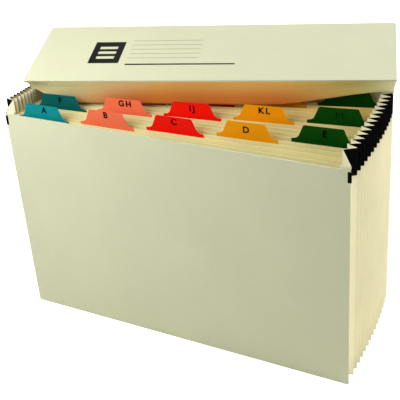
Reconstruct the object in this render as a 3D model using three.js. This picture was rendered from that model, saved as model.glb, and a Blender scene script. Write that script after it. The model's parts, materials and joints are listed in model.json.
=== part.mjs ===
// Expanding file: two covers, a concertina of sixteen pockets with indexed dividers,
// and a writing flap laid back on a folded spine. Millimetres, +Z up, the file opens upward.
import * as THREE from 'three';

// Covers
const coverWidth = 386.3;
const coverHeight = 240;
const coverThickness = 1.3;
const coverCorner = 2;

// Concertina: how far each outer fold stands behind the front cover
const dividerCount = 15;
const pleatDepth = 10.5;
const rightFirstSpread = 16.46;
const rightPitch = 10.06;
const leftPitch = 6.51;
const leftPitchLoss = 0.1583;

// Gussets and their tape
const gussetHeadroom = 0.5;
const gussetFrontRise = 3;
const gussetRearDrop = 6.5;
const gussetRearSlope = 1.2;
const gussetThickness = 0.35;
const gussetInset = 0.4;
const tapeThickness = 0.15;
const tapeWidth = 27;
const mitreGap = 0.8;
const foldRounding = 0.6;
const foldRoundingLimit = 0.8;
const straightEnough = 1e-6;
const bottomSegments = 8;

// Dividers and index tabs
const dividerHeight = coverHeight;
const dividerThickness = 0.5;
const dividerClearance = 0.6;
const dividerCorner = 1;
const tabsPerRow = 5;
const tabFirstOffset = 5;
const tabEndMargin = 0.4;
const tabFootWidth = 63.5;
const tabTopWidth = 39.5;
const tabRise = 14.5;
const tabBand = 4.5;
const tabThickness = 0.4;
const tabCorner = 1.4;
const tabCornerLean = 0.4;
const tabCurveWidth = 7.3;
const tabCurveRise = 3.1;
const tabCurveLead = 1.5;

// Spine and flap
const spineThickness = 0.8;
const roofClearance = 0.7;
const roofRadius = 4;
const roofSteps = 3;
const spineLanding = 7;
const landingShare = 0.4;
const descentLead = 0.5;
const descentTail = 0.35;
const climbLead = 0.5;
const slopeSteps = 6;
const valleyClearance = 3.1;
const spineBulge = 8.5;
const valleyTurn = 1.6;
const spineGlide = 4;
const spineGlideRise = 0.55;
const glideStart = 0.15;
const glideEnd = 0.4;
const dipStart = 0.09;
const dipEnd = 0.66;
const dipStartSteps = 6;
const spineSteps = 18;
const ridgeRise = 17;
const hingeGap = 1.7;
const flapLength = 113;
const flapThickness = 0.8;
const flapCorner = 3;
const flapPitch = THREE.MathUtils.degToRad(11.2);

// Where the spine's valley and crease lie, seen from above, from the ends of the rear cover
const valleyFromLeft = new THREE.Vector2(8.9, -23.5);
const valleyFromRight = new THREE.Vector2(3.4, -8.3);
const ridgeFromLeft = new THREE.Vector2(15.2, -43);
const ridgeFromRight = new THREE.Vector2(8.5, -17.1);

// Clearances between glued pieces
const glueGap = 0.3;
const tapeGap = 0.1;

// Flat pieces of a round corner
const cornerSegments = 4;

const cream = 0xe8e7d0;
const pleatCream = 0xf3ecc8;
const black = 0x19161c;
const tabColours = [
  0x08989e, 0xff694b, 0xf01910, 0xe88c05, 0x08410f,
  0x12695c, 0xff694b, 0xf01910, 0xe88c05, 0x08410f,
  0x12695c, 0xff694b, 0xf01910, 0xe88c05, 0x08410f,
];

const file = new THREE.Group();

function addMesh(name, geometry, colour, roughness = 0.85) {
  const material = new THREE.MeshStandardMaterial({ color: colour, roughness, metalness: 0 });
  const mesh = new THREE.Mesh(geometry, material);
  mesh.name = name;
  file.add(mesh);
  return mesh;
}

// A closed solid from shared corners and triangles, with its faces pointing out
function closedSolid(corners, triangles) {
  let volume = 0;
  for (const [a, b, c] of triangles) {
    volume += corners[a].dot(corners[b].clone().cross(corners[c]));
  }
  const ordered = volume > 0 ? triangles : triangles.map(([a, b, c]) => [a, c, b]);
  const geometry = new THREE.BufferGeometry();
  const positions = corners.flatMap((corner) => corner.toArray());
  geometry.setAttribute('position', new THREE.Float32BufferAttribute(positions, 3));
  geometry.setIndex(ordered.flat());
  return geometry;
}

// Joins rings that have the same number of corners. A flat outline closes each end.
function loftRings(rings, firstOutline, lastOutline) {
  const count = rings[0].length;
  const last = (rings.length - 1) * count;
  const triangles = [];
  const clockwise = THREE.ShapeUtils.isClockWise(firstOutline);
  const addTriangle = (a, b, c) => triangles.push(clockwise ? [a, c, b] : [a, b, c]);
  for (let start = 0; start < last; start += count) {
    for (let i = 0; i < count; i += 1) {
      const next = (i + 1) % count;
      addTriangle(start + i, start + next, start + count + i);
      addTriangle(start + next, start + count + next, start + count + i);
    }
  }
  for (const [a, b, c] of THREE.ShapeUtils.triangulateShape(firstOutline, [])) {
    triangles.push([a, c, b]);
  }
  for (const [a, b, c] of THREE.ShapeUtils.triangulateShape(lastOutline, [])) {
    triangles.push([last + a, last + b, last + c]);
  }
  return closedSolid(rings.flat(), triangles);
}

// A sheet of even thickness through a grid of points
function thickSheet(grid, thickness) {
  const rows = grid.length;
  const columns = grid[0].length;
  const corners = [];
  for (const side of [1, -1]) {
    for (let r = 0; r < rows; r += 1) {
      for (let c = 0; c < columns; c += 1) {
        const along = grid[Math.min(r + 1, rows - 1)][c].clone().sub(grid[Math.max(r - 1, 0)][c]);
        const across = grid[r][Math.min(c + 1, columns - 1)].clone().sub(grid[r][Math.max(c - 1, 0)]);
        const normal = along.cross(across).normalize();
        corners.push(grid[r][c].clone().addScaledVector(normal, (side * thickness) / 2));
      }
    }
  }
  const layer = rows * columns;
  const at = (r, c) => r * columns + c;
  const triangles = [];
  for (let r = 0; r + 1 < rows; r += 1) {
    for (let c = 0; c + 1 < columns; c += 1) {
      const [a, b, d, e] = [at(r, c), at(r + 1, c), at(r + 1, c + 1), at(r, c + 1)];
      triangles.push([a, b, d], [a, d, e]);
      triangles.push([layer + a, layer + d, layer + b], [layer + a, layer + e, layer + d]);
    }
  }
  const rim = [];
  for (let r = 0; r + 1 < rows; r += 1) {
    rim.push(at(r, 0));
  }
  for (let c = 0; c + 1 < columns; c += 1) {
    rim.push(at(rows - 1, c));
  }
  for (let r = rows - 1; r > 0; r -= 1) {
    rim.push(at(r, columns - 1));
  }
  for (let c = columns - 1; c > 0; c -= 1) {
    rim.push(at(0, c));
  }
  rim.forEach((corner, i) => {
    const next = rim[(i + 1) % rim.length];
    triangles.push([corner, layer + corner, layer + next], [corner, layer + next, next]);
  });
  return closedSolid(corners, triangles);
}

// An upright plate: the outline's x runs along the plate and its y runs up
function plate(shape, thickness) {
  const geometry = new THREE.ExtrudeGeometry(shape, {
    depth: thickness,
    bevelEnabled: false,
    curveSegments: cornerSegments,
  });
  geometry.rotateX(Math.PI / 2);
  geometry.translate(0, thickness / 2, 0);
  return geometry;
}

function panelShape(width, low, high, corner) {
  const shape = new THREE.Shape();
  shape.moveTo(0, low);
  shape.lineTo(width, low);
  shape.lineTo(width, high - corner);
  shape.quadraticCurveTo(width, high, width - corner, high);
  shape.lineTo(corner, high);
  shape.quadraticCurveTo(0, high, 0, high - corner);
  shape.closePath();
  return shape;
}

const gussetHeight = dividerHeight + tabRise + gussetHeadroom;
const ridgeHeight = gussetHeight + ridgeRise;

// The outer folds, numbered from the front cover's edge (0) to the rear cover's edge
const halfGusset = gussetThickness / 2;
const frontFoldY = coverThickness + glueGap + halfGusset;
const leftEdge = -coverWidth + gussetInset;
const foldSpan = coverWidth - 2 * gussetInset;

function leftTip(k) {
  const y = k === 0 ? frontFoldY : Math.max(leftPitch * k - leftPitchLoss * k * k, frontFoldY);
  return new THREE.Vector2(leftEdge, y);
}

function rightTip(k) {
  const y = k === 0 ? frontFoldY : rightFirstSpread + rightPitch * (k - 1);
  const across = Math.sqrt(foldSpan ** 2 - (y - leftTip(k).y) ** 2);
  return new THREE.Vector2(leftEdge + across, y);
}

// The concertina's folds on one side, front to back. Each knows the point on the line of outer
// folds that it starts from and the way inward, and is either an outer fold or an inner one.
function foldChain(tip, oppositeTip) {
  const chain = [];
  const inwardAt = (a, b) => b.clone().sub(a).normalize();
  const last = dividerCount;
  const addFold = (start, inward, depth) => {
    const point = start.clone().addScaledVector(inward, depth);
    chain.push({ start, inward, point });
  };
  addFold(tip(0), inwardAt(tip(0), oppositeTip(0)), pleatDepth);
  for (let k = 0; k <= last; k += 1) {
    addFold(tip(k), inwardAt(tip(k), oppositeTip(k)), 0);
    if (k < last) {
      const middle = tip(k).lerp(tip(k + 1), 0.5);
      const oppositeMiddle = oppositeTip(k).lerp(oppositeTip(k + 1), 0.5);
      addFold(middle, inwardAt(middle, oppositeMiddle), pleatDepth);
    }
  }
  addFold(tip(last), inwardAt(tip(last), oppositeTip(last)), pleatDepth);
  return chain;
}

const leftFolds = foldChain(leftTip, rightTip);
const rightFolds = foldChain(rightTip, leftTip);

// Moves a chain of points sideways. An outside bend gets two corners and an inside bend gets one.
function offsetChain(points, distance) {
  const result = [];
  const directionAt = (i) => points[i + 1].clone().sub(points[i]).normalize();
  const normalOf = (direction) => new THREE.Vector2(-direction.y, direction.x);
  points.forEach((point, index) => {
    const before = directionAt(Math.max(index - 1, 0));
    const after = directionAt(Math.min(index, points.length - 2));
    const turn = before.cross(after) * Math.sign(distance);
    const normalBefore = normalOf(before);
    const normalAfter = normalOf(after);
    if (turn < -straightEnough) {
      const mitreReach = Math.tan(Math.acos(THREE.MathUtils.clamp(before.dot(after), -1, 1)) / 2);
      const softening = Math.abs(distance) * Math.min(foldRounding, foldRoundingLimit * mitreReach);
      const first = point.clone().addScaledVector(normalBefore, distance);
      const second = point.clone().addScaledVector(normalAfter, distance);
      result.push({ index, point: first.addScaledVector(before, softening) });
      result.push({ index, point: second.addScaledVector(after, -softening) });
    } else {
      const mitre = normalBefore.clone().add(normalAfter);
      const length = distance / (1 + normalBefore.dot(normalAfter));
      result.push({ index, point: point.clone().addScaledVector(mitre, length) });
    }
  });
  return result;
}

function stripOutline(points, nearOffset, farOffset) {
  return [...offsetChain(points, nearOffset), ...offsetChain(points, farOffset).reverse()];
}

const rearLeft = leftTip(dividerCount);
const rearRight = rightTip(dividerCount);
const rearDirection = rearRight.clone().sub(rearLeft).normalize();
const rearNormal = new THREE.Vector2(-rearDirection.y, rearDirection.x);
const valleyLeft = rearLeft.clone().add(valleyFromLeft);
const valleyRight = rearRight.clone().add(valleyFromRight);
const ridgeLeft = rearLeft.clone().add(ridgeFromLeft);
const ridgeRight = rearRight.clone().add(ridgeFromRight);

// How far inward a point lies from the line of outer folds, as a share of the pleat's depth
function depthShare(fold, point) {
  const depth = point.clone().sub(fold.start).dot(fold.inward);
  return THREE.MathUtils.clamp(depth / pleatDepth, 0, 1);
}

function gussetTop(index, point) {
  const beforeRear = Math.max(rearLeft.clone().sub(point).dot(rearNormal), 0);
  const rearLimit = gussetHeight - gussetRearDrop + gussetRearSlope * beforeRear;
  const frontLimit = index <= 1 ? coverHeight + gussetFrontRise : gussetHeight;
  return Math.min(gussetHeight, rearLimit, frontLimit);
}

function standingStrip(outline, lowAt, highAt) {
  const flat = outline.map(({ point }) => point);
  const raise = (corner, height) => new THREE.Vector3(corner.point.x, corner.point.y, height);
  const low = outline.map((corner) => raise(corner, lowAt(corner)));
  const high = outline.map((corner) => raise(corner, highAt(corner)));
  return loftRings([low, high], flat, flat);
}

function sideGusset(folds) {
  const outline = stripOutline(folds.map((fold) => fold.point), halfGusset, -halfGusset);
  const lowAt = ({ index, point }) => pleatDepth * depthShare(folds[index], point);
  return standingStrip(outline, lowAt, ({ index, point }) => gussetTop(index, point));
}

// The tape lies on the outside of the pleats and starts on the front cover's edge
function gussetTape(folds, outward) {
  const coverEdge = new THREE.Vector2(outward > 0 ? -coverWidth : 0, 0);
  const points = [coverEdge, ...folds.slice(1, -1).map((fold) => fold.point)];
  const near = outward * (halfGusset + tapeGap);
  const far = outward * (halfGusset + tapeGap + tapeThickness);
  const outline = stripOutline(points, far, near);
  const edgeTop = coverHeight - coverCorner;
  const highAt = ({ index, point }) => (index === 0 ? edgeTop : gussetTop(index, point));
  return standingStrip(outline, () => gussetHeight - tapeWidth, highAt);
}

// The bottom strip is pleated up under each divider. Its ends are mitred to the side gussets.
function bottomGusset() {
  const restHeight = 2 * halfGusset;
  const sectionAt = (folds) => {
    const points = folds.map((fold) => {
      const height = restHeight + (pleatDepth - restHeight) * depthShare(fold, fold.point);
      return new THREE.Vector2(fold.point.y, height);
    });
    const outline = stripOutline(points, halfGusset, -halfGusset);
    const ring = outline.map(({ index, point }) => {
      const fold = folds[index];
      const share = THREE.MathUtils.clamp(point.y / pleatDepth, 0, 1);
      const inward = pleatDepth * share + mitreGap;
      const x = fold.start.x + fold.inward.x * inward;
      return new THREE.Vector3(x, point.x + fold.inward.y * mitreGap, point.y);
    });
    return { flat: outline.map(({ point }) => point), ring };
  };
  const left = sectionAt(leftFolds);
  const right = sectionAt(rightFolds);
  const rings = [];
  for (let i = 0; i <= bottomSegments; i += 1) {
    rings.push(left.ring.map((corner, j) => corner.clone().lerp(right.ring[j], i / bottomSegments)));
  }
  return loftRings(rings, left.flat, right.flat);
}

// The foot stands on the divider's top edge, with the glued band below it
function tabShape() {
  const foot = tabFootWidth / 2;
  const head = tabTopWidth / 2;
  const shape = new THREE.Shape();
  shape.moveTo(-foot, -tabBand);
  shape.lineTo(foot, -tabBand);
  shape.lineTo(foot, 0);
  shape.quadraticCurveTo(foot - tabCurveWidth + tabCurveLead, 0, foot - tabCurveWidth, tabCurveRise);
  shape.lineTo(head + tabCornerLean, tabRise - tabCorner);
  shape.quadraticCurveTo(head, tabRise, head - tabCorner, tabRise);
  shape.lineTo(tabCorner - head, tabRise);
  shape.quadraticCurveTo(-head, tabRise, -head - tabCornerLean, tabRise - tabCorner);
  shape.lineTo(tabCurveWidth - foot, tabCurveRise);
  shape.quadraticCurveTo(tabCurveWidth - foot - tabCurveLead, 0, -foot, 0);
  shape.closePath();
  return shape;
}

function addDivider(number) {
  const leftFold = leftFolds[2 * number].point;
  const rightFold = rightFolds[2 * number].point;
  const along = rightFold.clone().sub(leftFold);
  const width = along.length() - 2 * dividerClearance;
  along.normalize();
  const start = leftFold.clone().addScaledVector(along, dividerClearance);
  const suffix = String(number).padStart(2, '0');
  const outline = panelShape(width, pleatDepth + dividerClearance, dividerHeight, dividerCorner);
  const divider = addMesh(`divider_${suffix}`, plate(outline, dividerThickness), pleatCream);
  divider.position.set(start.x, start.y, 0);
  divider.rotation.z = along.angle();

  const place = (number - 1) % tabsPerRow;
  const room = width - tabFirstOffset - tabEndMargin - tabFootWidth;
  const centre = tabFirstOffset + (place * room) / (tabsPerRow - 1) + tabFootWidth / 2;
  const forward = dividerThickness / 2 + glueGap / 2 + tabThickness / 2;
  const tab = addMesh(`tab_${suffix}`, plate(tabShape(), tabThickness), tabColours[number - 1], 0.55);
  tab.position.set(
    start.x + along.x * centre + along.y * forward,
    start.y + along.y * centre - along.x * forward,
    dividerHeight,
  );
  tab.rotation.z = along.angle();
}

// One section of the rear cover and spine: up the back, over the rear tabs, down into the
// valley in front of them and up to the crease. The share runs from the left end to the right.
const roofHeight = gussetHeight + roofClearance + spineThickness / 2;
const coverOffset = halfGusset + glueGap + spineThickness / 2;

function spineSection(share) {
  const rear = rearLeft.clone().lerp(rearRight, share).addScaledVector(rearNormal, coverOffset);
  rear.addScaledVector(rearDirection, gussetInset * (2 * share - 1));
  const dip = THREE.MathUtils.smoothstep(share, 0, dipStart)
    * (1 - THREE.MathUtils.smoothstep(share, dipEnd, 1));
  const valley = valleyLeft.clone().lerp(valleyRight, share);
  const ridge = ridgeLeft.clone().lerp(ridgeRight, share);
  const forward = ridge.clone().sub(rear).normalize();
  const glide = spineGlide * dip * THREE.MathUtils.smoothstep(share, glideStart, glideEnd);
  valley.addScaledVector(forward, spineBulge * dip + glide);
  const reach = valley.distanceTo(rear);
  const landing = Math.min(spineLanding, landingShare * reach);
  const deepest = roofHeight - dividerHeight - valleyClearance;
  const valleyHeight = roofHeight - deepest * dip + spineGlideRise * glide;
  const lift = (point, height) => new THREE.Vector3(point.x, point.y, height);
  const ahead = (point, distance) => point.clone().addScaledVector(forward, distance);

  const section = [lift(rear, 0), lift(rear, roofHeight - roofRadius)];
  for (let i = 1; i <= roofSteps; i += 1) {
    const turn = ((Math.PI / 2) * i) / roofSteps;
    const outward = roofRadius * (1 - Math.cos(turn));
    section.push(lift(ahead(rear, outward), roofHeight - roofRadius * (1 - Math.sin(turn))));
  }
  const roofEnd = ahead(valley, -landing);
  const descent = new THREE.CubicBezierCurve3(
    lift(roofEnd, roofHeight),
    lift(ahead(roofEnd, descentLead * landing), roofHeight),
    lift(ahead(valley, -descentTail * landing), valleyHeight),
    lift(valley, valleyHeight),
  );
  const rise = new THREE.Vector3().subVectors(lift(ridge, ridgeHeight), lift(valley, valleyHeight));
  const rimPoint = lift(ridge, ridgeHeight).addScaledVector(rise.clone().normalize(), -hingeGap);
  const climb = new THREE.CubicBezierCurve3(
    lift(valley, valleyHeight),
    lift(ahead(valley, valleyTurn), valleyHeight),
    lift(ahead(valley, valleyTurn), valleyHeight + climbLead * rise.z),
    rimPoint,
  );
  section.push(...descent.getPoints(slopeSteps));
  section.push(...climb.getPoints(slopeSteps).slice(1));
  return section;
}

function rearCover() {
  const shares = [];
  for (let i = 0; i < dipStartSteps; i += 1) {
    shares.push((dipStart * i) / dipStartSteps);
  }
  for (let i = 0; i <= spineSteps; i += 1) {
    shares.push(dipStart + ((1 - dipStart) * i) / spineSteps);
  }
  return thickSheet(shares.map(spineSection), spineThickness);
}

function flap() {
  const along = ridgeRight.clone().sub(ridgeLeft);
  const width = along.length();
  along.normalize();
  const shape = panelShape(width, 0, flapLength, flapCorner);
  const geometry = new THREE.ExtrudeGeometry(shape, {
    depth: flapThickness,
    bevelEnabled: false,
    curveSegments: cornerSegments,
  });
  geometry.translate(0, 0, -flapThickness / 2);
  geometry.rotateX(flapPitch);
  geometry.rotateZ(along.angle());
  geometry.translate(ridgeLeft.x, ridgeLeft.y, ridgeHeight);
  return geometry;
}

const frontCover = plate(panelShape(coverWidth, 0, coverHeight, coverCorner), coverThickness);
frontCover.translate(-coverWidth, coverThickness / 2, 0);
addMesh('front_cover', frontCover, cream);
addMesh('rear_cover', rearCover(), cream);
addMesh('flap', flap(), cream);
addMesh('left_gusset', sideGusset(leftFolds), pleatCream);
addMesh('right_gusset', sideGusset(rightFolds), pleatCream);
addMesh('left_gusset_tape', gussetTape(leftFolds, 1), black, 0.6);
addMesh('right_gusset_tape', gussetTape(rightFolds, -1), black, 0.6);
addMesh('bottom_gusset', bottomGusset(), pleatCream);
for (let number = 1; number <= dividerCount; number += 1) {
  addDivider(number);
}

// The origin is the middle of the base
file.updateMatrixWorld(true);
const bounds = new THREE.Box3().setFromObject(file, true);
const middle = bounds.getCenter(new THREE.Vector3());
const assembly = new THREE.Group();
file.position.set(-middle.x, -middle.y, -bounds.min.z);
assembly.add(file);

export default assembly;
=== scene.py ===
"""Looks for the expanding file: card, cloth tape, index letters, ruled flap, studio and camera."""
import json
import math

import bmesh
import bpy
import numpy as np
from mathutils import Matrix, Vector


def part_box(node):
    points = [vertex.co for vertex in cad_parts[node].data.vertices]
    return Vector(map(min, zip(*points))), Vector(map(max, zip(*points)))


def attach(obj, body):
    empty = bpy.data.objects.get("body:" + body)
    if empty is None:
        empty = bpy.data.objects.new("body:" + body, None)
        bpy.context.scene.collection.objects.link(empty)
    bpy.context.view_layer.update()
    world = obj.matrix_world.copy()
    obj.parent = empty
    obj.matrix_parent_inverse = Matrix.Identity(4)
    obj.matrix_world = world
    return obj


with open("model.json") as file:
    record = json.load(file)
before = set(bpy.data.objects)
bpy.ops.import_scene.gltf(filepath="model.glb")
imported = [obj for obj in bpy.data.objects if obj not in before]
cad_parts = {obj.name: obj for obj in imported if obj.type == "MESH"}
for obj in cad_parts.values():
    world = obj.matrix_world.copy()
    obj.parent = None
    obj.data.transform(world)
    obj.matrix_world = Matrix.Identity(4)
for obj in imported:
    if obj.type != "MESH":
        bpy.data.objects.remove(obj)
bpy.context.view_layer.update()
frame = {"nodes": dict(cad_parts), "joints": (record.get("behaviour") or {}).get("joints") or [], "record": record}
nodes = frame["nodes"]
MM = 0.001

FRONT_LOW, FRONT_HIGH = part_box("front_cover")
# The front cover's lower right corner, which the spine's paint and the camera are placed from
CORNER = Vector((FRONT_HIGH.x, FRONT_LOW.y, 0.0))
UP = Vector((0, 0, 1))
WHITE = (1, 1, 1, 1)


# Shader nodes

def linear(red, green, blue):
    """A colour as it is seen, 0 to 255, in the renderer's linear values."""
    def channel(value):
        share = value / 255
        return share / 12.92 if share <= 0.04045 else ((share + 0.055) / 1.055) ** 2.4
    return (channel(red), channel(green), channel(blue), 1.0)


def shade(colour, amount):
    return tuple(min(1.0, channel * amount) for channel in colour[:3]) + (1.0,)


def new_material(name):
    material = bpy.data.materials.new(name)
    material.use_nodes = True
    tree = material.node_tree
    shader = tree.nodes["Principled BSDF"]
    coordinates = tree.nodes.new("ShaderNodeTexCoord")
    return material, tree, shader, coordinates.outputs["Object"]


def set_finish(shader, roughness, gloss):
    shader.inputs["Roughness"].default_value = roughness
    shader.inputs["Specular IOR Level"].default_value = gloss


def stretched(tree, vector, stretch):
    mapping = tree.nodes.new("ShaderNodeMapping")
    mapping.inputs["Scale"].default_value = stretch
    tree.links.new(vector, mapping.inputs["Vector"])
    return mapping.outputs["Vector"]


def noise(tree, vector, scale, detail, roughness=0.55, stretch=(1, 1, 1)):
    texture = tree.nodes.new("ShaderNodeTexNoise")
    texture.inputs["Scale"].default_value = scale
    texture.inputs["Detail"].default_value = detail
    texture.inputs["Roughness"].default_value = roughness
    tree.links.new(stretched(tree, vector, stretch), texture.inputs["Vector"])
    return texture.outputs["Fac"]


def ramp(tree, factor, low_stop, high_stop):
    """Two stops, each a position and a colour."""
    node = tree.nodes.new("ShaderNodeValToRGB")
    for element, (position, colour) in zip(node.color_ramp.elements, (low_stop, high_stop)):
        element.position = position
        element.color = colour
    tree.links.new(factor, node.inputs["Fac"])
    return node.outputs["Color"]


def colour_socket(sockets, name):
    """The mix node has a socket of each name for every kind of value."""
    return next(s for s in sockets if s.name == name and s.type == "RGBA")


def blend_colours(tree, first, second, factor, mode="MIX"):
    node = tree.nodes.new("ShaderNodeMix")
    node.data_type = "RGBA"
    node.blend_type = mode
    share = next(s for s in node.inputs if s.name == "Factor" and s.type == "VALUE")
    for target, value, plain_kind in (
        (colour_socket(node.inputs, "A"), first, tuple),
        (colour_socket(node.inputs, "B"), second, tuple),
        (share, factor, float),
    ):
        if isinstance(value, plain_kind):
            target.default_value = value
        else:
            tree.links.new(value, target)
    return colour_socket(node.outputs, "Result")


def bump(tree, shader, height, strength, distance, previous=None):
    node = tree.nodes.new("ShaderNodeBump")
    node.inputs["Strength"].default_value = strength
    node.inputs["Distance"].default_value = distance
    tree.links.new(height, node.inputs["Height"])
    if previous is not None:
        tree.links.new(previous, node.inputs["Normal"])
    tree.links.new(node.outputs["Normal"], shader.inputs["Normal"])
    return node.outputs["Normal"]


def dot_product(tree, vector, direction):
    node = tree.nodes.new("ShaderNodeVectorMath")
    node.operation = "DOT_PRODUCT"
    tree.links.new(vector, node.inputs[0])
    node.inputs[1].default_value = direction
    return node.outputs["Value"]


def smooth_step(tree, value, start, end):
    node = tree.nodes.new("ShaderNodeMapRange")
    node.interpolation_type = "SMOOTHSTEP"
    node.inputs["From Min"].default_value = start
    node.inputs["From Max"].default_value = end
    tree.links.new(value, node.inputs["Value"])
    return node.outputs["Result"]


# Materials

def card_material(name, colour, roughness, mottle, fibre, grain, gloss=0.2):
    """Card: cloudy tone, fine fibres and a soft tooth."""
    material, tree, shader, vector = new_material(name)
    clouds = noise(tree, vector, scale=14, detail=3)
    fibres = noise(tree, vector, scale=900, detail=5, roughness=0.6, stretch=(1, 1, 0.35))
    light, dark = shade(colour, 1 + 0.4 * mottle), shade(colour, 1 - mottle)
    tone = ramp(tree, clouds, (0.3, dark), (0.7, light))
    fleck = ramp(tree, fibres, (0.35, shade(WHITE, 1 - fibre)), (0.65, WHITE))
    flecked = blend_colours(tree, tone, fleck, 1.0, "MULTIPLY")
    tree.links.new(flecked, shader.inputs["Base Color"])
    set_finish(shader, roughness, gloss)
    swell = noise(tree, vector, scale=60, detail=2)
    tooth = noise(tree, vector, scale=1800, detail=3)
    swollen = bump(tree, shader, swell, strength=0.15, distance=0.6 * MM)
    bump(tree, shader, tooth, strength=grain, distance=0.2 * MM, previous=swollen)
    return material


def tape_material(name, colour):
    """Cloth tape: a fine square weave."""
    material, tree, shader, vector = new_material(name)
    threads = []
    for stretch in ((1, 1, 0), (0, 0, 1)):
        wave = tree.nodes.new("ShaderNodeTexWave")
        wave.bands_direction = "DIAGONAL"
        wave.inputs["Scale"].default_value = 420
        wave.inputs["Distortion"].default_value = 0.6
        tree.links.new(stretched(tree, vector, stretch), wave.inputs["Vector"])
        threads.append(wave.outputs["Color"])
    weave = blend_colours(tree, threads[0], threads[1], 0.5)
    lint = noise(tree, vector, scale=300, detail=4)
    tone = ramp(tree, lint, (0.3, shade(colour, 0.7)), (0.7, shade(colour, 1.5)))
    tree.links.new(tone, shader.inputs["Base Color"])
    set_finish(shader, roughness=0.8, gloss=0.05)
    bump(tree, shader, weave, strength=0.35, distance=0.3 * MM)
    return material


COVER_BOARD = {"roughness": 0.6, "mottle": 0.03, "fibre": 0.03, "grain": 0.08}
INNER_CARD = {"roughness": 0.75, "mottle": 0.05, "fibre": 0.05, "grain": 0.14}
DYED_CARD = {"roughness": 0.5, "mottle": 0.05, "fibre": 0.03, "grain": 0.06, "gloss": 0.12}
PRINTED_INK = {"roughness": 0.45, "mottle": 0.1, "fibre": 0.1, "grain": 0.05}
MATT_INK = {"roughness": 0.8, "mottle": 0.1, "fibre": 0.1, "grain": 0.05, "gloss": 0.05}

COVER_COLOUR = linear(221, 222, 187)
# A little warmer than the cover: painted warm reflected light on the crease, which is in shade
CREASE_PAINTED_LIGHT_COLOUR = linear(224, 219, 180)
GUSSET_COLOUR = linear(251, 245, 210)
# Painted shade, warm from reflected light, inside the left gusset's folds
VALLEY_PAINTED_SHADE = linear(140, 106, 42)
DIVIDER_COLOUR = linear(253, 243, 184)
# Warm reflected light painted on the dividers towards the rear
REAR_DIVIDER_PAINTED_LIGHT = linear(255, 228, 142)
# Painted shade and reflected orange light on the spine's inner face, paler and brighter at its ends
SPINE_TOP_PAINTED_LIGHT = linear(232, 183, 96)
SPINE_LOW_PAINTED_SHADE = linear(216, 130, 56)
SPINE_END_PAINTED_LIGHT = linear(255, 250, 192)
SPINE_RIGHT_PAINTED_LIGHT = linear(255, 246, 152)
TAPE_COLOUR = linear(4, 3, 5)
TAB_COLOURS = {
    "teal_tab": linear(0, 138, 141),
    "sea_green_tab": linear(0, 97, 97),
    "salmon_tab": linear(255, 123, 85),
    "red_tab": linear(255, 20, 5),
    "orange_tab": linear(255, 167, 5),
    "green_tab": linear(0, 74, 2),
}

COVER = card_material("cover_board", COVER_COLOUR, **COVER_BOARD)
GUSSET = card_material("gusset_card", GUSSET_COLOUR, **INNER_CARD)
TAPE = tape_material("cloth_tape", TAPE_COLOUR)
LETTER_INK = card_material("letter_ink", linear(5, 4, 5), **MATT_INK)
BLACK_INK = card_material("black_ink", linear(16, 15, 14), **PRINTED_INK)
# The crease's board, with warm reflected light painted into its colour
CREASE_BOARD_PAINTED_LIGHT = card_material("crease_board_painted_light", CREASE_PAINTED_LIGHT_COLOUR, **COVER_BOARD)
BARE_CARD = card_material("bare_card", COVER_COLOUR, **COVER_BOARD)


class PaintedCard:
    """A card material with soft fields of colour laid over it."""

    def __init__(self, name, colour, kind):
        self.material = card_material(name, colour, **kind)
        self.tree = self.material.node_tree
        coordinates = next(n for n in self.tree.nodes if n.type == "TEX_COORD")
        self.place = coordinates.outputs["Object"]
        self.normal = coordinates.outputs["Normal"]
        self.base_colour = self.tree.nodes["Principled BSDF"].inputs["Base Color"]

    def past(self, point, direction, start, width):
        """0 up to a distance past a point and 1 beyond it, over a soft edge of the given width."""
        shifted = self.tree.nodes.new("ShaderNodeVectorMath")
        shifted.operation = "SUBTRACT"
        self.tree.links.new(self.place, shifted.inputs[0])
        shifted.inputs[1].default_value = point + direction * start
        reach = dot_product(self.tree, shifted.outputs["Vector"], direction)
        return smooth_step(self.tree, reach, 0.0, width)

    def facing(self, direction, start, end):
        """0 on faces that look away from a direction and 1 on those that look along it."""
        return smooth_step(self.tree, dot_product(self.tree, self.normal, direction), start, end)

    def both(self, first, second):
        node = self.tree.nodes.new("ShaderNodeMath")
        node.operation = "MULTIPLY"
        self.tree.links.new(first, node.inputs[0])
        self.tree.links.new(second, node.inputs[1])
        return node.outputs["Value"]

    def blend(self, first, second, share):
        return blend_colours(self.tree, first, second, share)

    def paint(self, colour, share):
        """Lays a colour over what the card shows so far."""
        below = self.base_colour.links[0].from_socket
        self.tree.links.new(self.blend(below, colour, share), self.base_colour)


# The ends of the rear cover's inner face at its foot, from the front cover's lower right corner
REAR_LEFT_BACK = 62 * MM
REAR_RIGHT_BACK = 157.3 * MM
REAR_RIGHT_INSET = 12.4 * MM
# The spine's painted light turns to its lower colour, deeper painted shade with reflected orange light, from this
# height down
SPINE_PAINTED_SHADE_HEIGHT = 270 * MM
# There the paler, brighter painted light at its left end reaches this far, and this much less for each unit down
SPINE_LEFT_REACH = 40 * MM
SPINE_LEFT_SLANT = 3
# The painted face looks forward, and this much down
SPINE_FACE_TILT = 0.8


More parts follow.
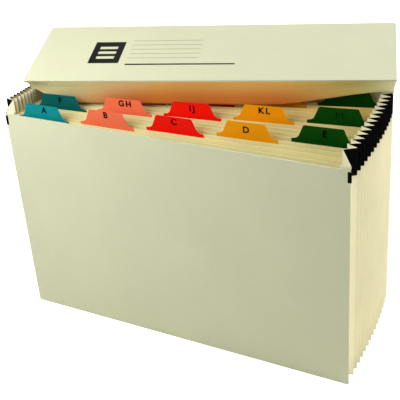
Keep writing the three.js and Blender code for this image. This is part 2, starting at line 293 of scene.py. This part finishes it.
def rear_cover_material():
    """The cover's board. On the spine's inner face, in front of the rear tabs, shade and orange light reflected
    from the tabs are painted:
    warmer, most of all low down where the painted shade is deepest, and paler and brighter at its ends."""
    card = PaintedCard("rear_cover_board_painted_light", COVER_COLOUR, COVER_BOARD)
    low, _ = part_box("rear_cover")
    rear_left = Vector((low.x, CORNER.y + REAR_LEFT_BACK, 0))
    rear_right = Vector((CORNER.x - REAR_RIGHT_INSET, CORNER.y + REAR_RIGHT_BACK, 0))
    along = (rear_right - rear_left).normalized()
    forward = Vector((along.y, -along.x, 0))
    shade_level = Vector((0, 0, SPINE_PAINTED_SHADE_HEIGHT))
    slant = (along - SPINE_LEFT_SLANT * UP).normalized()
    painted_light_left = rear_left + shade_level + along * SPINE_LEFT_REACH

    depth = card.past(shade_level, -UP, start=0, width=20 * MM)
    from_left = card.past(painted_light_left, slant, start=0, width=48 * MM)
    from_right = card.past(rear_right, -along, start=2 * MM, width=110 * MM)
    from_right_tip = card.past(rear_right, -along, start=0, width=45 * MM)
    painted_light = card.blend(SPINE_TOP_PAINTED_LIGHT, SPINE_LOW_PAINTED_SHADE, depth)
    painted_light = card.blend(SPINE_END_PAINTED_LIGHT, painted_light, from_left)
    painted_light = card.blend(SPINE_RIGHT_PAINTED_LIGHT, painted_light, from_right)
    painted_light = card.blend(SPINE_END_PAINTED_LIGHT, painted_light, from_right_tip)

    in_front = card.past(rear_left, forward, start=5 * MM, width=3 * MM)
    faced = (forward - SPINE_FACE_TILT * UP).normalized()
    inner_face = card.facing(faced, start=0.15, end=0.4)
    # Paints shade and reflected orange light on the spine's inner face
    card.paint(painted_light, card.both(in_front, inner_face))
    return card.material


# How far in from the gusset's ends the innermost points of its pleats are looked for
FRONT_RIDGE_REACH = 3 * MM
REAR_RIDGE_REACH = 6 * MM


def ridge_of_left_gusset():
    """The innermost point of the pleats at the front and the same point at the rear."""
    points = [v.co for v in nodes["left_gusset"].data.vertices]
    front, rear = min(p.y for p in points), max(p.y for p in points)
    front_ridge = max(p.x for p in points if p.y < front + FRONT_RIDGE_REACH)
    rear_ridge = max(p.x for p in points if p.y > rear - REAR_RIDGE_REACH)
    return Vector((front_ridge, front, 0)), Vector((rear_ridge, rear, 0))


def left_gusset_material():
    """The pleats' card, with shade and warm reflected light painted inside the folds that open into the pockets.
    The tape blackens the upper edge at the outer folds."""
    card = PaintedCard("left_gusset_card_painted_shade", GUSSET_COLOUR, INNER_CARD)
    ridge, rear_ridge = ridge_of_left_gusset()
    backward = (rear_ridge - ridge).normalized()
    outward = Vector((-backward.y, backward.x, 0))

    shade_depth = card.past(ridge, outward, start=0.5 * MM, width=4.5 * MM)
    not_outermost = card.past(ridge, -outward, start=-9 * MM, width=3 * MM)
    past_first_pleat = card.past(ridge, backward, start=5.8 * MM, width=0.6 * MM)
    inner_face = card.facing((1, 0, 0), start=0.02, end=0.12)
    painted_valley_shade = card.both(shade_depth, not_outermost)
    shown = card.both(inner_face, past_first_pleat)
    # Painted shade with warm reflected light in the valleys of the pleats
    card.paint(VALLEY_PAINTED_SHADE, card.both(painted_valley_shade, shown))

    outer_fold = card.past(ridge, outward, start=5.5 * MM, width=1 * MM)
    upper_edge = card.facing(UP, start=0.6, end=0.8)
    card.paint(TAPE_COLOUR, card.both(outer_fold, upper_edge))
    return card.material


def divider_material():
    """The dividers' card, with warm reflected light painted towards the rear, where the spine hangs over them."""
    card = PaintedCard("divider_card_painted_light", DIVIDER_COLOUR, INNER_CARD)
    rear = card.past(Vector(), Vector((0, 1, 0)), start=-75 * MM, width=90 * MM)
    # Paints warm reflected light towards the rear
    card.paint(REAR_DIVIDER_PAINTED_LIGHT, rear)
    return card.material


MATERIAL_OF = {
    "cover_board": COVER,
    "gusset_card": GUSSET,
    "divider_card": divider_material(),
    "cloth_tape": TAPE,
}
for tab_slot, tab_colour in TAB_COLOURS.items():
    MATERIAL_OF[tab_slot] = card_material(tab_slot, tab_colour, **DYED_CARD)


def set_material(mesh, material):
    mesh.materials.clear()
    mesh.materials.append(material)


for entry in frame["record"]["subparts"]:
    set_material(nodes[entry["node"]].data, MATERIAL_OF[entry["material_slot"]])
set_material(nodes["rear_cover"].data, rear_cover_material())
set_material(nodes["left_gusset"].data, left_gusset_material())


# Pieces that scene.py adds

def add_to_scene(name, data):
    added = bpy.data.objects.new(name, data)
    bpy.context.scene.collection.objects.link(added)
    return added


def add_piece(name, vertices, faces, material, body):
    mesh = bpy.data.meshes.new(name)
    mesh.from_pydata([tuple(v) for v in vertices], [], faces)
    mesh.validate()
    mesh.materials.append(material)
    piece = add_to_scene(name, mesh)
    editor = bmesh.new()
    editor.from_mesh(mesh)
    bmesh.ops.recalc_face_normals(editor, faces=editor.faces)
    editor.to_mesh(mesh)
    editor.free()
    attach(piece, body)
    return piece


# Index letters, put on by hand: the text, how far it is right of the tab's middle, and how far its
# middle is below the tab's top, in millimetres
LABELS = [
    ("A", 2.2, 5.0), ("B", -0.3, 4.0), ("C", 0.1, 4.9), ("D", -0.4, 7.6), ("E", 1.2, 6.6),
    ("F", 0.6, 5.9), ("GH", 1.8, 4.8), ("IJ", 0.8, 6.0), ("KL", 1.0, 5.0), ("M", 0.8, 7.6),
    ("N", 0.5, 6.0), ("OP", -0.6, 5.6), ("QR", 0.9, 6.3), ("ST", 0.2, 5.5), ("U", 0.7, 2.4),
]
LETTER_SIZE = 9.0 * MM
LETTER_HEIGHT = 6.4 * MM
LETTER_WEIGHT = 0.32 * MM
LETTER_DEPTH = 0.05 * MM
LETTER_SPACING = 1.4
LETTER_CURVE_STEPS = 6
# The M is wider and thinner, so that its strokes stay apart
M_WEIGHT = -0.12 * MM
M_WIDTH = 1.3
TAB_THICKNESS = 0.4 * MM


def plate_frame(node):
    """An upright plate's middle, length direction, direction of its front, and top."""
    points = np.array([v.co for v in nodes[node].data.vertices])
    centre = points.mean(0)
    flat = points[:, :2] - centre[:2]
    _, directions = np.linalg.eigh(flat.T @ flat)
    along = Vector((directions[0, 1], directions[1, 1], 0)).normalized()
    if along.x < 0:
        along.negate()
    front = Vector((along.y, -along.x, 0))
    reach = (points - centre) @ np.array(along)
    middle = Vector(centre) + along * (reach.max() + reach.min()) / 2
    return middle, along, front, points[:, 2].max()


def letter_mesh(text):
    curve = bpy.data.curves.new("label_" + text, "FONT")
    curve.body = text
    curve.size = LETTER_SIZE
    curve.align_x = "CENTER"
    curve.space_character = LETTER_SPACING
    curve.offset = M_WEIGHT if text == "M" else LETTER_WEIGHT
    curve.extrude = LETTER_DEPTH
    curve.resolution_u = LETTER_CURVE_STEPS
    carrier = add_to_scene("label_" + text, curve)
    bpy.context.view_layer.update()
    mesh = bpy.data.meshes.new_from_object(carrier)
    bpy.data.objects.remove(carrier)
    bpy.data.curves.remove(curve)
    set_material(mesh, LETTER_INK)
    return mesh


def add_letters():
    for number, (text, right, below) in enumerate(LABELS, start=1):
        middle, along, front, top = plate_frame(f"tab_{number:02d}")
        spot = middle + along * right * MM + front * (TAB_THICKNESS / 2 + LETTER_DEPTH)
        spot.z = top - below * MM - LETTER_HEIGHT / 2
        turn = Matrix((along, UP, front)).transposed().to_4x4()
        if text == "M":
            turn = turn @ Matrix.Diagonal((M_WIDTH, 1, 1, 1))
        mesh = letter_mesh(text)
        mesh.transform(Matrix.Translation(spot) @ turn)
        piece = add_to_scene(f"letter_{number:02d}", mesh)
        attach(piece, "file")


add_letters()


# The tape's ends, turned in over the front cover's upper corners
TAPE_TURN = 3 * MM
TAPE_TURN_TOP = 1.3 * MM
TAPE_TURN_BACK = 1.2 * MM
TAPE_TURN_HEIGHT = 11 * MM
TAPE_THICKNESS = 0.15 * MM
TAPE_STANDOFF = 0.43 * MM
TAPE_BEVEL = 0.3 * MM
TAPE_BEVEL_SHARE = 0.3
TAPE_FACE_GAP = 0.01 * MM
TAPE_EDGE_GAP = 0.02 * MM


def add_tape_turn(name, edge, inward):
    """A strip folded round the cover's upright edge: on the edge first, then on the face."""
    top = FRONT_HIGH.z - TAPE_TURN_TOP
    face = FRONT_LOW.y - TAPE_THICKNESS
    back = FRONT_LOW.y + TAPE_TURN_BACK
    inner_face = FRONT_LOW.y - TAPE_FACE_GAP
    outline = [
        (edge - inward * TAPE_STANDOFF, back),
        (edge - inward * TAPE_STANDOFF, face + TAPE_BEVEL),
        (edge - inward * TAPE_BEVEL_SHARE * TAPE_STANDOFF, face),
        (edge + inward * TAPE_TURN, face),
        (edge + inward * TAPE_TURN, inner_face),
        (edge - inward * TAPE_EDGE_GAP, inner_face),
        (edge - inward * TAPE_EDGE_GAP, back),
    ]
    count = len(outline)
    low = [(x, y, top - TAPE_TURN_HEIGHT) for x, y in outline]
    high = [(x, y, top - TAPE_TURN_TOP * (abs(x - edge) < TAPE_STANDOFF)) for x, y in outline]
    sides = [(i, (i + 1) % count, count + (i + 1) % count, count + i) for i in range(count)]
    ends = [tuple(range(count)), tuple(range(2 * count - 1, count - 1, -1))]
    add_piece(name, low + high, sides + ends, TAPE, "file")


add_tape_turn("tape_turn_left", FRONT_LOW.x, 1)
add_tape_turn("tape_turn_right", FRONT_HIGH.x, -1)


# The flap's frame: the crease is the hinge, and the panel goes back and up from it
JOINT = frame["joints"][0]
HINGE = Vector(JOINT["pos_m"])
ALONG = Vector(JOINT["axis"]).normalized()
FLAP_PITCH = math.radians(11.2)
LEVEL_BACK = Vector((-ALONG.y, ALONG.x, 0))
FLAP_BACK = LEVEL_BACK * math.cos(FLAP_PITCH) + UP * math.sin(FLAP_PITCH)
FLAP_UP = ALONG.cross(FLAP_BACK)
FLAP_WIDTH = 386.3 * MM
FLAP_THICKNESS = 0.8 * MM


def flap_point(right, back, up):
    """A point on the flap: right from its left end, back from the crease, up from its top face."""
    start = HINGE - ALONG * FLAP_WIDTH / 2
    return start + ALONG * right + FLAP_BACK * back + FLAP_UP * (FLAP_THICKNESS / 2 + up)


# The flap's print. Each shape's left edge, front edge, width and depth are in millimetres
INK_GAP = 0.004 * MM
INK_HEIGHT = 0.05 * MM
WINDOW_STEP = 10
LINE_STEP = 9
BLOCK = (62, 34, 34, 44)
WINDOWS = [(69, 43 + WINDOW_STEP * number, 20, 5) for number in range(3)]
LINES = [(104, 44 + LINE_STEP * number, 78, 0.35) for number in range(5)]
RULE = (104, 30, 118, 2.6)


def print_block(name, place, material=BLACK_INK, height=INK_HEIGHT):
    left, front, width, depth = (length * MM for length in place)
    vertices = []
    for up in (INK_GAP, height):
        for along, across in ((0, 0), (width, 0), (width, depth), (0, depth)):
            vertices.append(flap_point(left + along, front + across, up))
    faces = [(0, 3, 2, 1), (4, 5, 6, 7), (0, 1, 5, 4), (1, 2, 6, 5), (2, 3, 7, 6), (3, 0, 4, 7)]
    add_piece(name, vertices, faces, material, "flap")


def add_flap_print():
    """A writing panel: a black block with three bare windows, ruled lines and a thicker rule."""
    print_block("print_block", BLOCK)
    for number, window in enumerate(WINDOWS, start=1):
        print_block(f"print_window_{number}", window, BARE_CARD, 2 * INK_HEIGHT)
    for number, line in enumerate(LINES, start=1):
        print_block(f"print_line_{number}", line)
    print_block("print_rule", RULE)


add_flap_print()


# The crease between spine and flap, one strip that ends in a round edge about the hinge
CREASE_RADIUS = 0.43 * MM
CREASE_OVERLAP = 0.1 * MM
CREASE_ARC_STEPS = 8
CREASE_RIM_REACH = 2.6 * MM
CREASE_SHARP_ANGLE = math.radians(50)


def rim_of_spine():
    """The back and front corners of the spine's upper edge, from its left end to its right end."""
    corners = set()
    for vertex in nodes["rear_cover"].data.vertices:
        from_hinge = vertex.co - HINGE
        if from_hinge.cross(ALONG).length < CREASE_RIM_REACH:
            along, back = from_hinge.dot(ALONG), from_hinge.dot(FLAP_BACK)
            corners.add((round(along, 6), round(back, 6), vertex.co.copy().freeze()))
    corners = sorted(corners)
    pairs = []
    for first, second in zip(corners[::2], corners[1::2]):
        back, front = (first, second) if first[1] > second[1] else (second, first)
        pairs.append((back[2], front[2]))
    return pairs


def crease_ring(back_corner, front_corner, share):
    """The strip's outline at one place: over the hinge, from the spine's back corner to its front
    one. The share is how far along the hinge it is."""
    middle = (back_corner + front_corner) / 2
    ridge = HINGE + ALONG * (share - 0.5) * FLAP_WIDTH
    down = middle - ridge
    down = (down - ALONG * down.dot(ALONG)).normalized()
    across = ALONG.cross(down)
    if across.dot(back_corner - front_corner) < 0:
        across = -across
    ring = [back_corner + down * CREASE_OVERLAP]
    for step in range(CREASE_ARC_STEPS + 1):
        angle = math.pi * step / CREASE_ARC_STEPS
        outward = across * math.cos(angle) - down * math.sin(angle)
        ring.append(ridge + outward * CREASE_RADIUS)
    ring.append(front_corner + down * CREASE_OVERLAP)
    return ring


def add_crease():
    pairs = rim_of_spine()
    reaches = [back.dot(ALONG) for back, _ in pairs]
    vertices = []
    for (back, front), reach in zip(pairs, reaches):
        share = (reach - reaches[0]) / (reaches[-1] - reaches[0])
        vertices += crease_ring(back, front, share)
    count = CREASE_ARC_STEPS + 3
    faces = []
    for this in range(0, len(vertices) - count, count):
        beyond = this + count
        for i in range(count):
            j = (i + 1) % count
            faces.append((this + i, this + j, beyond + j, beyond + i))
    faces.append(tuple(reversed(range(count))))
    faces.append(tuple(range(len(vertices) - count, len(vertices))))
    piece = add_piece("flap_crease", vertices, faces, CREASE_BOARD_PAINTED_LIGHT, "file")
    for polygon in piece.data.polygons:
        polygon.use_smooth = True
    piece.data.set_sharp_from_angle(angle=CREASE_SHARP_ANGLE)


add_crease()


# Studio
FLOOR_SIZE = 8
FLOOR_DROP = 0.2 * MM
FLOOR_COLOUR = (0.9, 0.9, 0.89, 1)
# What the camera sees of the floor and the room is lifted towards white, without more light
FLOOR_GLOW = 0.82
ROOM_WHITE = 1.0
ROOM_LIGHT = 0.18
# Each light's name, place, aim, diameter in metres and power in watts
LIGHTS = [
    ("key", (-0.42, -0.35, 0.50), (-0.15, 0, 0.2), 0.30, 1.2),
    ("key_high", (-0.30, -0.30, 0.75), (-0.12, 0, 0.2), 0.35, 0.85),
    ("front", (-0.20, -0.60, 0.55), (-0.05, 0, 0.25), 0.40, 1.4),
    ("side", (1.3, 0.15, 0.8), (0.15, 0, 0.15), 0.9, 14),
    ("back", (-0.2, 1.2, 0.9), (0, 0, 0.2), 0.9, 11.5),
]


def show_to_camera(tree, others_see, camera_sees, surface):
    """Gives a surface or the world one shader for the camera and another for everything else."""
    path = tree.nodes.new("ShaderNodeLightPath")
    mix = tree.nodes.new("ShaderNodeMixShader")
    tree.links.new(path.outputs["Is Camera Ray"], mix.inputs["Fac"])
    tree.links.new(others_see, mix.inputs[1])
    tree.links.new(camera_sees, mix.inputs[2])
    tree.links.new(mix.outputs["Shader"], surface)


def add_floor():
    bpy.ops.mesh.primitive_plane_add(size=FLOOR_SIZE, location=(0, 0, -FLOOR_DROP))
    floor = bpy.context.object
    floor.name = "floor"
    material = bpy.data.materials.new("floor")
    material.use_nodes = True
    tree = material.node_tree
    shader = tree.nodes["Principled BSDF"]
    shader.inputs["Base Color"].default_value = FLOOR_COLOUR
    set_finish(shader, roughness=0.9, gloss=0.1)
    glow = tree.nodes.new("ShaderNodeEmission")
    glow.inputs["Strength"].default_value = FLOOR_GLOW
    lifted = tree.nodes.new("ShaderNodeAddShader")
    tree.links.new(shader.outputs["BSDF"], lifted.inputs[0])
    tree.links.new(glow.outputs["Emission"], lifted.inputs[1])
    show_to_camera(
        tree, shader.outputs["BSDF"], lifted.outputs["Shader"],
        tree.nodes["Material Output"].inputs["Surface"],
    )
    floor.data.materials.append(material)


def add_world():
    world = bpy.data.worlds.new("studio")
    bpy.context.scene.world = world
    world.use_nodes = True
    tree = world.node_tree
    light = tree.nodes["Background"]
    white = tree.nodes.new("ShaderNodeBackground")
    for background, strength in ((light, ROOM_LIGHT), (white, ROOM_WHITE)):
        background.inputs["Color"].default_value = WHITE
        background.inputs["Strength"].default_value = strength
    show_to_camera(
        tree, light.outputs["Background"], white.outputs["Background"],
        tree.nodes["World Output"].inputs["Surface"],
    )


def add_lights():
    for name, place, aim, diameter, power in LIGHTS:
        light = bpy.data.lights.new(name, "AREA")
        light.shape = "DISK"
        light.size = diameter
        light.energy = power
        lamp = add_to_scene(name, light)
        lamp.location = place
        lamp.rotation_euler = (Vector(aim) - Vector(place)).to_track_quat("-Z", "Y").to_euler()


# The camera was found by fitting the covers' corners. Its target is from CORNER, in millimetres
CAMERA_AZIMUTH = math.radians(30.49984)
CAMERA_ELEVATION = math.radians(28.50291)
CAMERA_ROLL = math.radians(-4.58047)
CAMERA_DISTANCE = 872.86 * MM
CAMERA_TARGET = Vector((-154.677, 0, 180.652)) * MM
CAMERA_NEAR = 50 * MM
FOCAL_PIXELS = 889.37
PHOTO_WIDTH = 400
SENSOR_WIDTH = 36.0


def add_camera():
    backward = Vector((
        math.sin(CAMERA_AZIMUTH) * math.cos(CAMERA_ELEVATION),
        -math.cos(CAMERA_AZIMUTH) * math.cos(CAMERA_ELEVATION),
        math.sin(CAMERA_ELEVATION),
    ))
    right = (-backward).cross(UP).normalized()
    down = (-backward).cross(right)
    turned_right = right * math.cos(CAMERA_ROLL) - down * math.sin(CAMERA_ROLL)
    turned_down = right * math.sin(CAMERA_ROLL) + down * math.cos(CAMERA_ROLL)
    turn = Matrix((turned_right, -turned_down, backward)).transposed().to_4x4()
    place = CORNER + CAMERA_TARGET + backward * CAMERA_DISTANCE
    lens = bpy.data.cameras.new("camera")
    lens.sensor_width = SENSOR_WIDTH
    lens.sensor_fit = "HORIZONTAL"
    lens.lens = FOCAL_PIXELS / PHOTO_WIDTH * SENSOR_WIDTH
    lens.clip_start = CAMERA_NEAR
    camera = add_to_scene("camera", lens)
    camera.matrix_world = Matrix.Translation(place) @ turn
    bpy.context.scene.camera = camera


add_floor()
add_world()
add_lights()
add_camera()
bpy.context.scene.view_settings.view_transform = "Standard"
